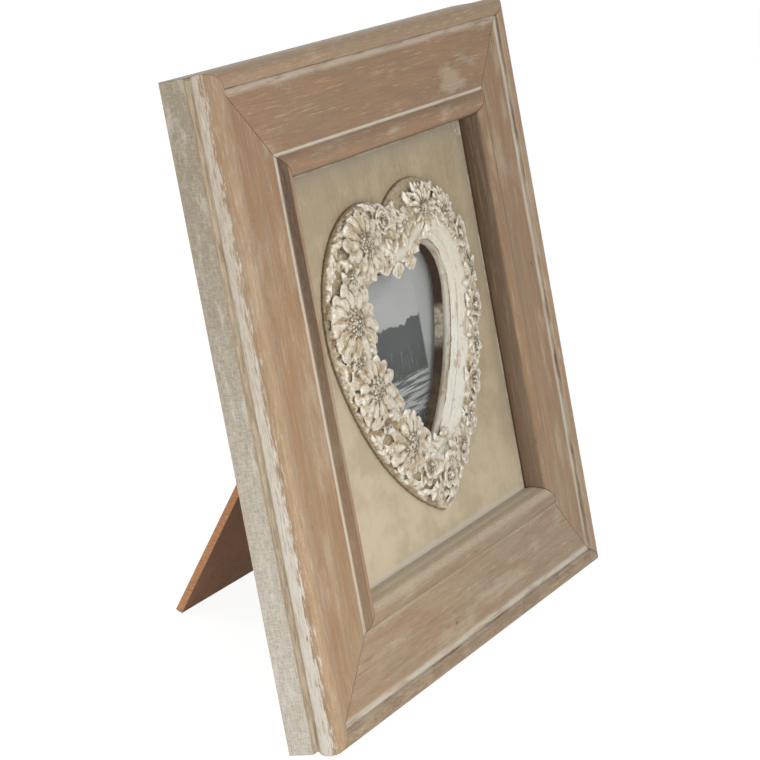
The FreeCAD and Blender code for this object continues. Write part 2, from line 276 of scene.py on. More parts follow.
mouldingLook = {
    "deep": shade(132, 106, 82),
    "brown": shade(160, 132, 103),
    "light": shade(182, 156, 126),
    "wash": shade(196, 182, 158),
    "greyed": shade(142, 126, 104),
    "warm": shade(163, 124, 89),
    "residue": shade(214, 207, 192),
    "bead": shade(221, 215, 203),
    "gold": shade(194, 160, 121),
    "beadBrown": shade(168, 145, 118),
    "cove": shade(166, 146, 121),
    "side": shade(202, 193, 176),
    "sideDark": shade(160, 149, 131),
    "sideShadow": shade(224, 218, 210),
    "wall": shade(128, 106, 84),
    "wallStainAndShade": shade(84, 66, 50),
    "line": shade(74, 56, 42),
    "rawWood": shade(200, 172, 132),
    "washAmount": 0.40,
}

# Where the moulding's finish changes, in millimetres: from and to, or the middle, half width and soft edge of a line
mouldingLines = {
    "stiles": (80.0, 84.0),
    "bottomRail": (47.0, 43.0),
    "back": (0.2, 0.05),
    "side": (10.3, 9.8),
    "sideShadowLine": (10.3, 0.1, 0.5),
    "cove": (13.3, 12.9),
    "outside": (3.4, 2.4),
    "beadFoot": (12.9, 13.6),
    "beadFlank": (3.6, 2.8),
    "beadCrest": (21.0, 0.5, 1.1),
    "bead": (7.0, 6.5),
    "beadGroove": (6.9, 0.12, 0.35),
    "outerGroove": (8.2, 0.3, 2.2),
    "innerGroove": (34.9, 0.35, 0.5),
    "rollFlank": (37.1, 1.5, 0.9),
    "innerWall": (42.6, 44.2),
    "wallTop": (22.8, 20.8),
    "wallFoot": (14.6, 13.8),
    "lowWallPaleAndPaintedLight": (39.5, 43.0),
    "paleFoot": (44.0, 44.6),
    "paleFootTop": (20.2, 18.6),
}


def washedWood():
    look, lines = mouldingLook, mouldingLines
    material, shader, own = newMaterial("washedWood", {"Specular IOR Level": 0.25})
    inward, front, run, mitre, across, up, stile = useGroup(mouldingPlace, {"Place": own})
    streak, fine, pores = useGroup(woodGrain, {"Run": run})
    rail = minus(1.0, stile)
    rightSide = times(fade(across, *lines["stiles"]), stile)
    leftSide = times(fade(across, *(-edge for edge in lines["stiles"])), stile)
    bottomSide = times(fade(up, *lines["bottomRail"]), rail)
    topSide = times(rail, minus(1.0, bottomSide))
    low = fade(up, 240.0, 20.0)

    # Brown stain with fine grain, thin wash over it and greyed clouds
    brown = ramp(streak, [(0.18, look["deep"]), (0.5, look["brown"]), (0.86, look["light"])])
    speckle = grained(run, (0.8, 1.8, 1.8), 3.0, 0.8, (3, 7, 5))
    for tone, grain, first, last, most in (("wash", speckle, 0.52, 0.70, 0.6), ("deep", speckle, 0.46, 0.30, 0.5),
                                           ("light", fine, 0.48, 0.70, 0.55), ("deep", fine, 0.46, 0.28, 0.55)):
        brown = coat(brown, look[tone], fade(grain, first, last, 0.0, most))
    brown = coat(brown, look["line"], pores, 0.40)
    wash = useGroup(wornWash, {"Run": run, "Amount": look["washAmount"]})["Mask"]
    clouds = grained(run, (0.028, 0.075, 0.075), 4.0, 0.6, (4, 1, 6))
    colour = coat(brown, look["wash"], wash, 0.36)
    colour = coat(colour, look["greyed"], fade(clouds, 0.47, 0.34, 0.0, 0.55))

    # Painted light makes the wood paler at the lower left, and painted shade makes it darker towards the upper right
    # and the top; it is also darker on the right stile, greyer and less warm at the bottom
    paintedLightSlope = minus(minus(framePlace["middle"], up), times(across, 0.8))
    colour = coat(colour, look["light"], fade(paintedLightSlope, 0.0, 210.0, 0.0, 0.36))
    colour = coat(colour, look["deep"], fade(paintedLightSlope, 60.0, -150.0, 0.0, 0.52))
    colour = coat(colour, look["deep"], fade(up, 150.0, 240.0, 0.0, 0.55))
    colour = coat(colour, look["deep"], rightSide, 0.2)
    colour = coat(colour, look["greyed"], bottomSide, fade(across, -90.0, 90.0, 0.2, 0.55))
    lowEnd = maths("MAXIMUM", bottomSide, times(rightSide, fade(up, 75.0, 25.0)))
    warmth = grained(run, (0.020, 0.20, 0.20), 5.0, 0.7, (2, 8, 1))
    warmAmount = minus(plus(1.0, times(leftSide, 0.4)), times(lowEnd, 0.5))
    colour = coat(colour, look["warm"], fade(warmth, 0.42, 0.62, 0.05, 0.48), warmAmount)
    colour = coat(colour, look["wash"], lowEnd, fade(warmth, 0.60, 0.42, 0.0, 0.16))
    fibres = grained(run, (0.055, 1.15, 1.15), 5.0, 0.75, (9, 2, 7))
    colour = coat(colour, look["wall"], fade(fibres, 0.54, 0.68, 0.0, 0.62))
    colour = coat(colour, look["wash"], fade(fibres, 0.44, 0.33, 0.0, 0.5))
    colour = coat(colour, look["wash"], fade(plus(clouds, times(fibres, -0.18)), 0.43, 0.60, 0.0, 0.38))

    # A few pin knots
    knots = cells(stretched(run, (0.030, 0.062, 0.062)), 1.0)
    colour = coat(colour, look["line"], fade(knots, 0.055, 0.025), 0.6)

    # The roll round the panel gets painted shade on its outer flank, deepest towards the top. Its inner wall is
    # stained dark, most on the right, with painted shade from the top rail that deepens towards the top
    paintedFlankShade = times(stripe(inward, *lines["rollFlank"]), fade(up, 50.0, 190.0, 0.5, 1.0),
                  fade(streak, 0.25, 0.5, 0.6, 1.0), fade(stile, 0.0, 1.0, 0.12, 1.0))
    colour = coat(colour, coat(look["wallStainAndShade"], look["wall"], fade(fine, 0.45, 0.75)), paintedFlankShade)
    # Painted shade: the inner wall darkens towards the top, as under the top rail
    paintedWallShade = times(fade(up, 60.0, 190.0, 0.35, 1.0), fade(fine, 0.7, 0.3, 0.7, 1.0))
    wallTone = coat(look["wall"], look["wallStainAndShade"], paintedWallShade)
    wallTone = coat(wallTone, look["greyed"], fade(fibres, 0.50, 0.38, 0.0, 0.40))
    wallTone = coat(wallTone, look["line"], rightSide, fade(front, *lines["wallFoot"]))
    wallPlace = times(fade(inward, *lines["innerWall"]), fade(front, *lines["wallTop"]))
    wallAmount = times(plus(0.45, times(rightSide, 0.5)), minus(1.0, times(bottomSide, 0.9)))
    colour = coat(colour, wallTone, wallPlace, wallAmount)
    # Pale wash on the bottom rail's inner wall and a pale line at its foot: partly real wash, partly painted light
    # that lifts the shade in the undercut
    lowWallPaleAndPaintedLight = times(fade(inward, *lines["lowWallPaleAndPaintedLight"]), bottomSide)
    colour = coat(colour, look["wash"], lowWallPaleAndPaintedLight, fade(fine, 0.35, 0.6, 0.45, 0.9))
    footPaleAndPaintedLight = times(fade(front, *lines["paleFootTop"]), fade(inward, *lines["paleFoot"]), bottomSide)
    colour = coat(colour, look["residue"], footPaleAndPaintedLight, 0.9)

    # The outer bead is white low on its outer side, gold above that and brown on its crest
    onBead = fade(inward, *lines["bead"])
    onFlank = fade(inward, *lines["beadFlank"])
    edge = grained(run, (0.10, 0.3, 0.3), 5.0, 0.7, (6, 2, 5))
    worn = grained(run, (0.12, 1.3, 1.3), 5.0, 0.75, (1, 8, 3))
    colour = coat(colour, look["beadBrown"], onBead, 0.5)
    colour = coat(colour, look["deep"], onBead, fade(worn, 0.46, 0.34, 0.0, 0.5))
    colour = coat(colour, look["wash"], onBead, fade(worn, 0.54, 0.66, 0.0, 0.55))
    colour = coat(colour, look["wall"], onBead, bottomSide, fade(edge, 0.40, 0.58),
                  fade(speckle, 0.62, 0.40, 0.2, 0.75))
    gold = times(stripe(front, *lines["beadCrest"]), onFlank, fade(worn, 0.36, 0.6, 0.2, 0.8),
                 fade(low, 0.0, 1.0, 0.2, 1.0), stile, fade(speckle, 0.40, 0.58, 0.25, 1.0))
    colour = coat(colour, look["gold"], gold)
    reach = minus(plus(fade(edge, 0.3, 0.7, 16.0, 18.8), times(low, 1.2)), times(rail, 1.6))
    reach = plus(reach, fade(worn, 0.35, 0.65, -1.4, 1.4))
    white = times(fade(minus(front, reach), 1.0, -1.0), fade(front, *lines["beadFoot"]), onFlank,
                  fade(worn, 0.32, 0.56, 0.35, 0.95), fade(low, 0.0, 1.0, 0.72, 1.0))
    scratch = fade(grained(run, (0.2, 2.2, 2.2), 4.0, 0.75, (2, 2, 9)), 0.52, 0.62, 0.0, 0.6)
    beadTone = coat(look["bead"], look["beadBrown"], scratch, fade(low, 0.0, 1.0, 1.0, 0.45))
    colour = coat(colour, beadTone, white)

    # White wash left in the two grooves of the band, and a painted shadow line at the bead's groove
    streaky = grained(run, (0.05, 0.5, 0.5), 4.0, 0.65, (4, 4, 4))
    outerWeight = minus(0.8, plus(times(leftSide, 0.6), times(topSide, 0.35)))
    innerWeight = minus(0.75, plus(times(rightSide, 0.6), times(bottomSide, 0.62)))
    outerScraps = times(stripe(inward, *lines["outerGroove"]), fade(streaky, 0.32, 0.56, 0.25, 1.0), outerWeight)
    innerScraps = times(stripe(inward, *lines["innerGroove"]), fade(streaky, 0.28, 0.45, 0.5, 1.0), innerWeight)
    residue = maths("MAXIMUM", outerScraps, innerScraps)
    colour = coat(colour, look["residue"], residue)
    # Painted shadow line in the groove beside the bead
    paintedGrooveShade = times(stripe(inward, *lines["beadGroove"]), fade(streaky, 0.3, 0.6, 0.75, 0.25))
    colour = coat(colour, look["line"], paintedGrooveShade)

    # Cove and flat side
    outside = fade(inward, *lines["outside"])
    coveTone = coat(look["cove"], look["wash"], fade(worn, 0.40, 0.62))
    coveTone = coat(coveTone, look["deep"], fade(worn, 0.46, 0.34, 0.0, 0.6))
    colour = coat(colour, coveTone, outside, fade(front, *lines["cove"]))
    linen = useGroup(brushedPaint, {"Run": run})["Mask"]
    blotch = grained(run, (0.07, 0.25, 0.25), 5.0, 0.7, (8, 1, 1))
    sideTone = coat(look["sideDark"], look["side"], linen)
    sideTone = coat(sideTone, look["sideShadow"], fade(up, 250.0, 60.0, 0.75, 0.0), blend="MULTIPLY")
    sideTone = coat(sideTone, look["bead"], fade(blotch, 0.50, 0.66, 0.0, 0.6), fade(up, 240.0, 90.0, 0.6, 1.0))
    sideTone = coat(sideTone, look["sideDark"], fade(blotch, 0.47, 0.34, 0.0, 0.7))
    sideTone = coat(sideTone, look["bead"], fade(linen, 0.0, 1.0, 0.35, 1.0), fade(up, 190.0, 10.0), 0.7)
    onSide = times(outside, fade(front, *lines["side"]))
    colour = coat(colour, sideTone, onSide)
    # Painted shadow line along the edge between the flat side and the cove
    colour = coat(colour, look["deep"], outside, stripe(front, *lines["sideShadowLine"]), 0.35)

    # Bare wood behind, and mitre lines
    rawTone = coat(look["rawWood"], look["light"], fade(fine, 0.3, 0.75))
    colour = coat(colour, rawTone, fade(front, *lines["back"]))
    colour = coat(colour, look["line"], mitre, fade(inward, 2.0, 7.0, 0.35, 0.85))
    height = plus(times(fine, 0.6), times(pores, -0.4), times(onSide, linen, 0.7),
                  times(maths("MAXIMUM", residue, white), 0.5))
    addBump(shader, minus(height, times(mitre, 0.8)), 0.00022, 0.6)
    feed(shader, {"Base Color": colour, "Roughness": fade(wash, 0.0, 1.0, 0.55, 0.78)})
    return material


# Sunk panel: beige wash with a fine upright grain

panelLook = {
    "dark": shade(150, 134, 108),
    "base": shade(171, 154, 126),
    "light": shade(187, 171, 143),
    "pale": shade(210, 195, 167),
    "grey": shade(160, 151, 133),
    "mark": shade(208, 203, 189),
    "hole": shade(74, 55, 42),
    "holeDark": shade(44, 32, 24),
    "holeLow": shade(112, 95, 74),
    "holeMark": shade(196, 188, 170),
    "halfWidth": 84.9,
    "halfHeight": 79.9,
    "holeEdge": (13.2, 13.05),
    "holePatch": (126.0, 6.0, 4.0),
    "footMark": (48.6, 46.0),
}


def washedPanel():
    look = panelLook
    material, shader, place = newMaterial("washedPanel", {"Roughness": 0.7, "Specular IOR Level": 0.25})
    across, back, up = split(place)
    upright = grained(place, (1.3, 1.3, 0.045), 5.0, 0.7)
    broad = grained(place, (0.09, 0.09, 0.02), 3.0)
    mottle = grained(place, (0.7, 0.7, 0.4), 5.0, 0.8)
    both = plus(times(upright, 0.45), times(mottle, 0.55))
    colour = ramp(both, [(0.34, look["dark"]), (0.5, look["base"]), (0.66, look["light"])])
    colour = coat(colour, look["light"], fade(broad, 0.35, 0.65, 0.0, 0.45))
    # Painted light: the panel is paler towards the lower left, lifting the shade there
    paintedLightSlope = minus(minus(framePlace["middle"], up), times(across, 0.5))
    colour = coat(colour, look["pale"], fade(paintedLightSlope, -60.0, 110.0, 0.0, 0.9))
    cloudy = grained(place, (0.035, 0.035, 0.05), 4.0, 0.6, (3, 0, 8))
    colour = coat(colour, look["dark"], fade(cloudy, 0.42, 0.62, 0.0, 0.35))

    # Grey towards the mouldings, with pale scraps of wash along them
    sideGap = minus(look["halfWidth"], maths("ABSOLUTE", across))
    endGap = minus(look["halfHeight"], maths("ABSOLUTE", minus(up, framePlace["middle"])))
    edge = maths("MINIMUM", sideGap, endGap)
    colour = coat(colour, look["grey"], fade(edge, 12.0, 1.0, 0.0, 0.55), fade(up, 52.0, 80.0))
    colour = coat(colour, look["mark"], fade(up, *look["footMark"], 0.0, 0.8))
    corner = fade(plus(sideGap, endGap), 22.0, 4.0)
    colour = coat(colour, look["mark"], corner, fade(noise(place, 0.35, 4.0, 0.7), 0.52, 0.62), 0.7)
    colour = coat(colour, look["mark"], fade(edge, 1.8, 0.8), fade(noise(place, 0.12, 3.0), 0.45, 0.6), 0.6)

    # The hole's cut edge is dark, with one pale patch on its right side
    hole = coat(look["holeDark"], look["hole"], noise(place, 0.4, 4.0))
    lower = fade(up, 120.0, 96.0)
    hole = coat(hole, look["holeLow"], lower, fade(noise(place, 0.3, 4.0), 0.35, 0.6, 0.3, 0.8))
    hole = coat(hole, look["holeMark"], stripe(up, *look["holePatch"]), fade(across, 30.0, 34.0),
                fade(noise(place, 0.5, 4.0, 0.6), 0.34, 0.62, 0.35, 1.0), 0.8)
    colour = coat(colour, hole, fade(times(back, -1.0), *look["holeEdge"]))
    feed(shader, {"Base Color": colour})
    addBump(shader, upright, 0.00012, 0.6)
    return material


# Print: a quiet grey landscape with a pale border

printLook = {
    "paper": shade(240, 242, 236),
    "sky": shade(252, 253, 250),
    "skyTop": shade(190, 198, 194),
    "cloud": shade(246, 248, 244),
    "hill": shade(58, 68, 64),
    "tree": shade(24, 32, 29),
    "lake": shade(250, 251, 247),
    "shore": shade(92, 102, 97),
    "hillFoot": 122.0,
    "treeFoot": 112.0,
    "lakeEdge": (112.5, 111.5),
    "bankFoot": 92.0,
    "centre": 1.0,
    "halfWidth": 27.0,
}


def greyPrint():
    look = printLook
    material, shader, place = newMaterial("greyPrint", {"Roughness": 0.5, "Specular IOR Level": 0.35})
    parts = split(place)
    across, up = parts[0], parts[2]
    line = combine(across)
    colour = coat(look["sky"], look["skyTop"], fade(up, 136.0, 186.0))
    colour = coat(colour, look["cloud"], fade(grained(place, (0.04, 0.04, 0.12), 4.0), 0.48, 0.66))
    hillTop = plus(look["hillFoot"], times(noise(line, 0.045, 3.0), 24.0))
    colour = coat(colour, look["hill"], fade(minus(hillTop, up), 0.0, 0.8))
    treeTop = plus(look["treeFoot"], times(noise(stretched(line, (1, 1, 1), (40, 0, 0)), 0.16, 5.0, 0.7), 22.0))
    trunks = grained(place, (0.9, 0.9, 0.16), 5.0, 0.75)
    trees = coat(look["tree"], look["shore"], fade(trunks, 0.46, 0.62))
    trees = coat(trees, look["paper"], fade(trunks, 0.60, 0.68))
    colour = coat(colour, trees, fade(minus(treeTop, up), 0.0, 0.6))
    water = coat(look["shore"], look["lake"], fade(grained(place, (0.05, 0.05, 0.9), 4.0), 0.42, 0.54))
    colour = coat(colour, water, fade(up, *look["lakeEdge"]))
    bankTop = plus(look["bankFoot"], times(noise(line, 0.06, 3.0), 10.0))
    reeds = grained(place, (1.1, 1.1, 0.25), 4.0, 0.7, (5, 5, 5))
    bank = coat(look["tree"], look["paper"], fade(reeds, 0.50, 0.64))
    colour = coat(colour, bank, fade(minus(bankTop, up), 0.0, 0.8))
    sideIn = minus(look["halfWidth"], maths("ABSOLUTE", minus(across, look["centre"])))
    colour = coat(colour, look["paper"], fade(sideIn, 0.0, 1.6, 1.0, 0.0))
    colour = coat(colour, look["shore"], fade(noise(place, 2.6, 2.0), 0.3, 0.7, 0.0, 0.12))
    feed(shader, {"Base Color": colour})
    return material


# Boards, card, metal and glass

boardLook = {
    "face": shade(160, 124, 98),
    "faceDark": shade(124, 95, 73),
    "sawn": shade(226, 172, 128),
    "sawnDark": shade(188, 134, 94),
    "card": shade(158, 150, 134),
    "cardDark": shade(128, 120, 104),
}


def boardFinish(name, lean):
    look = boardLook
    lean = math.radians(lean)
    outward = (0, -math.cos(lean), math.sin(lean))  # the way that the board faces at rest
    material, shader, place = newMaterial(name, {"Roughness": 0.72, "Specular IOR Level": 0.25})
    fibre = noise(place, 1.1, 5.0, 0.7)
    face = coat(look["faceDark"], look["face"], fade(fibre, 0.3, 0.7))
    face = coat(face, look["sawnDark"], fade(noise(place, 0.06, 3.0), 0.35, 0.7, 0.0, 0.3))
    sawn = coat(look["sawnDark"], look["sawn"], fade(grained(place, (0.4, 0.4, 2.4), 4.0, 0.7), 0.3, 0.7))
    normal = put(shader.id_data, "ShaderNodeTexCoord").outputs["Normal"]
    facing = chain("ShaderNodeVectorMath", {0: normal, 1: outward}, operation="DOT_PRODUCT").outputs["Value"]
    feed(shader, {"Base Color": coat(sawn, face, fade(maths("ABSOLUTE", facing), 0.7, 0.95))})
    addBump(shader, fibre, 0.0001, 0.6)
    return material


def greyCard():
    look = boardLook
    material, shader, place = newMaterial("greyCard", {"Roughness": 0.85, "Specular IOR Level": 0.2})
    fibre = grained(place, (1.6, 1.6, 0.7), 5.0, 0.7)
    feed(shader, {"Base Color": coat(look["cardDark"], look["card"], fade(fibre, 0.3, 0.7))})
    addBump(shader, fibre, 0.0001, 0.5)
    return material


metalLook = {
    "hinge": {"tone": shade(206, 192, 158), "dull": shade(150, 136, 108), "rough": 0.34},
    "button": {"tone": shade(200, 192, 172), "dull": shade(148, 140, 122), "rough": 0.38},
    "screw": {"tone": shade(210, 198, 166), "dull": shade(140, 126, 98), "rough": 0.3},
    "nail": {"tone": shade(176, 176, 172), "dull": shade(110, 106, 100), "rough": 0.45},
}


def platedSteel(kind):
    look = metalLook[kind]
    material, shader, place = newMaterial(kind + "Steel", {"Metallic": 1.0})
    brush = grained(place, (0.5, 6.0, 6.0), 4.0, 0.7)
    tarnish = noise(place, 0.5, 4.0, 0.65)
    feed(shader, {"Base Color": coat(look["tone"], look["dull"], fade(tarnish, 0.42, 0.68)),
                  "Roughness": fade(brush, 0.3, 0.7, look["rough"] - 0.08, look["rough"] + 0.14)})
    addBump(shader, brush, 0.00003, 0.5)
    return material


def clearGlass():
    values = {"Base Color": shade(236, 240, 238), "Alpha": 0.10, "Specular IOR Level": 0.5}
    material, shader, place = newMaterial("clearGlass", values)
    feed(shader, {"Roughness": fade(noise(place, 0.08, 4.0), 0.4, 0.75, 0.02, 0.09)})
    return material


finishes = {
    washedWood(): ["left_stile", "right_stile", "top_rail", "bottom_rail"],
    washedPanel(): ["heart_panel"],
    greyPrint(): ["photo_print"],
    clearGlass(): ["glass_pane"],
    greyCard(): ["backing_card"],
    boardFinish("brownBoard", framePlace["lean"]): ["backboard"],
    boardFinish("legBoard", framePlace["lean"] - framePlace["legOpening"]): ["easel_leg"],
    platedSteel("hinge"): ["backboard_leaf", "leg_leaf", "hinge_pin", "backboard_rivets", "leg_rivets"],
    platedSteel("button"): ["turn_button_1", "turn_button_2", "turn_button_3", "turn_button_4"],
    platedSteel("screw"): ["turn_button_screws"],
    platedSteel("nail"): ["corner_v_nails"],
}
for material, names in finishes.items():
    for name in names:
        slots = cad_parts[name].data.materials
        slots.clear()
        slots.append(material)
print("finishes on the carried-over pieces")

# Cast heart: a ring with flowers, leaves and buds, drawn in millimetres

heartLook = {
    "place": (1.1, 120.0),
    "turn": 3.5,
    "lobe": (22.9, 23.6, 44.4),
    "side": (-45.2, 42.25, 115.0),
    "notchRadius": 2.0,
    "middleInset": 13.5,
    "stations": 300,
    "section": [(0.0, 0.1), (0.0, 0.8), (0.6, 1.6), (3.6, 3.1), (10.0, 4.8), (16.5, 6.2), (18.6, 6.4),
                (20.0, 6.1), (23.5, 4.1), (27.0, 1.5), (27.0, 0.1)],
    "grainSize": 0.42,
    "triangles": 190000,
    "outlinePoints": 1200,
    "outlineStep": 0.32,
    "edgeGap": 0.2,
    "unevenness": 0.14,
    "softening": 12,
    "seed": 11,
    "leaves": 250,
    "rimLeaves": 190,
    "edgeLeaves": [  # share of the way round, inset, height, length, spin: leaves that reach over the opening
        (0.990, 25.5, 5.4, 12.0, 100), (0.968, 26.0, 5.6, 12.0, 115), (0.948, 24.5, 5.6, 10.0, 80),
        (0.012, 25.5, 5.2, 11.0, 75), (0.035, 24.0, 4.8, 9.0, 110), (0.925, 25.0, 5.4, 9.0, 130),
        (0.000, 20.5, 5.6, 11.0, 60), (0.980, 19.0, 5.8, 11.0, 200), (0.020, 20.0, 5.4, 10.0, 150),
        (0.870, 24.5, 5.2, 9.0, 230), (0.845, 25.0, 5.4, 9.0, 130), (0.760, 25.0, 5.4, 9.0, 125),
        (0.740, 24.8, 5.2, 9.0, 235), (0.665, 25.0, 5.2, 10.0, 125), (0.640, 25.5, 5.0, 9.0, 110),
        (0.575, 24.8, 5.0, 10.0, 240), (0.545, 25.0, 4.8, 9.0, 250), (0.515, 25.0, 4.6, 8.0, 230),
    ],
}

# share of the way round from the notch, inset, radius, tilt outward, kind, height of the seat
flowers = [
    (0.021, 10.8, 7.0, 4, "fan", 4.6),
    (0.079, 13.2, 11.6, 4, "aster", 4.8),
    (0.134, 11.2, 10.0, 5, "fan", 4.6),
    (0.178, 10.6, 8.6, 3, "rosette", 4.8),
    (0.222, 10.6, 8.4, 3, "leaves", 5.0),
    (0.264, 10.6, 8.4, 2, "rosette", 5.0),
    (0.309, 10.6, 8.0, 2, "leaves", 5.0),
    (0.354, 10.8, 8.4, 2, "rosette", 5.0),
    (0.401, 11.2, 8.4, 2, "leaves", 5.0),
    (0.449, 12.2, 9.0, 3, "rosette", 5.0),
    (0.501, 13.5, 8.6, 4, "rosette", 4.6),
    (0.554, 12.4, 8.0, 6, "rosette", 4.6),
    (0.611, 13.0, 12.2, 8, "daisy", 5.4),
    (0.666, 9.7, 5.9, 10, "leaves", 4.4),
    (0.711, 12.6, 12.8, 9, "daisy", 5.4),
    (0.754, 9.7, 7.0, 12, "leaves", 4.6),
    (0.796, 12.9, 14.2, 9, "daisy", 5.4),
    (0.848, 11.9, 8.6, 12, "leaves", 4.8),
    (0.901, 13.4, 13.0, 7, "daisy", 5.4),
    (0.954, 8.1, 6.4, 5, "rosebud", 5.4),
]


def heartArcs(inset):  # right half, from the notch down to the tip: centre, radius, first and last angle
    look = heartLook
    lobe, side = Vector(look["lobe"][:2]), Vector(look["side"][:2])
    lobeRadius, sideRadius = look["lobe"][2], look["side"][2]
    reach = lobeRadius + look["notchRadius"]
    notch = Vector((0.0, lobe.y + math.sqrt(reach ** 2 - lobe.x ** 2)))
    half = math.asin(lobe.x / reach)
    fromNotch = math.atan2(notch.y - lobe.y, -lobe.x)
    toSide = math.atan2(lobe.y - side.y, lobe.x - side.x)
    tip = math.atan2(-math.sqrt((sideRadius - inset) ** 2 - side.x ** 2), -side.x)
    return [(notch, look["notchRadius"] + inset, -math.pi / 2, -math.pi / 2 + half, -1.0),
            (lobe, lobeRadius - inset, fromNotch, toSide, 1.0),
            (side, sideRadius - inset, toSide, tip, 1.0)]


def heartPoint(share, inset):  # a point of the outline at this inset, and the way out from it
    share = share % 1.0
    hand = 1.0 if share <= 0.5 else -1.0
    if hand < 0:
        share = 1.0 - share
    lengths = [abs(last - first) * radius for centre, radius, first, last, way in heartArcs(heartLook["middleInset"])]
    left = share * 2 * sum(lengths)
    index = 0
    while index < 2 and left > lengths[index]:
        left -= lengths[index]
        index += 1
    centre, radius, first, last, way = heartArcs(inset)[index]
    angle = first + (last - first) * min(left / lengths[index], 1.0)
    out = Vector((math.cos(angle), math.sin(angle))) * way
    point = centre + out * way * radius
    turn = Matrix.Rotation(math.radians(heartLook["turn"]), 2)
    place = Vector(heartLook["place"])
    point = turn @ Vector((hand * point.x, point.y)) + place
    return point, turn @ Vector((hand * out.x, out.y))


def addRing(shape):
    look = heartLook
    loops = []
    for inset, height in look["section"]:
        points = [heartPoint(index / look["stations"], inset)[0] for index in range(look["stations"])]
        verts = [shape.verts.new((point.x, point.y, framePlace["panelFront"] + height)) for point in points]
        loops.append([shape.edges.new((verts[index - 1], verts[index])) for index in range(len(verts))])
    for first, second in zip(loops, loops[1:] + loops[:1]):
        bmesh.ops.bridge_loops(shape, edges=first + second)
    bmesh.ops.recalc_face_normals(shape, faces=shape.faces)


def addPetal(shape, place, length, width, thick, curl=0.0, ridge=0.3, pointed=0.0, ribs=0.0):
    made = bmesh.ops.create_uvsphere(shape, u_segments=16, v_segments=8, radius=1.0)["verts"]
    for vert in made:
        x, y, z = vert.co
        along = (x + 1) / 2
        rim = max(math.sqrt(max(1 - x * x, 0)), 0.001)
        side = y / rim if rim > 0.01 else 0.0
        broad = (0.62 + 0.76 * along) * (1 - pointed) + pointed * (0.25 + 1.5 * min(along, 1 - along) ** 0.8)
        roof = ridge * (1 - abs(side)) * math.sin(math.pi * along)
        vein = ribs * math.cos(2 * math.pi * (3.2 * along - 0.9 * abs(side))) * math.sin(math.pi * along)
        height = z * thick / 2 + curl * along * along + (roof + vein if z > 0 else 0.0)
        vert.co = (along * length, y * width / 2 * broad, height)
    bmesh.ops.transform(shape, matrix=place, verts=made)


def ringOfPetals(shape, rng, count, start, length, width, thick, lift, curl, ridge, offset=0.0, pointed=0.0,
                 ribs=0.0, first=0.0, sweep=360.0):
    for index in range(count):
        angle = math.radians(first + sweep * (index + offset) / count + rng.uniform(-4, 4))
        place = Matrix.Rotation(angle, 4, "Z") @ Matrix.Translation((start, 0, lift + rng.uniform(-0.15, 0.15)))
        place = place @ Matrix.Rotation(math.radians(rng.uniform(-9, 9)), 4, "X")
        size = rng.uniform(0.9, 1.08)
        addPetal(shape, place, length * size, width * rng.uniform(0.92, 1.08), thick, curl + rng.uniform(-0.3, 0.3),
                 ridge, pointed, ribs)


goldenAngle = 2.39996


def addDome(shape, rng, radius, height, base, bead, count):
    dome = bmesh.ops.create_uvsphere(shape, u_segments=24, v_segments=12, radius=1.0)["verts"]
    bmesh.ops.transform(shape, matrix=Matrix.Translation((0, 0, base)) @ Matrix.Diagonal((radius, radius, height, 1)),
                        verts=dome)
    for index in range(count):
        away = math.sqrt((index + 0.5) / count) * 0.97
        angle = index * goldenAngle
        up = height * math.sqrt(1 - away * away)
        place = Matrix.Translation((radius * away * math.cos(angle), radius * away * math.sin(angle), base + up))
        bmesh.ops.create_icosphere(shape, subdivisions=1, radius=bead * rng.uniform(0.8, 1.15), matrix=place)


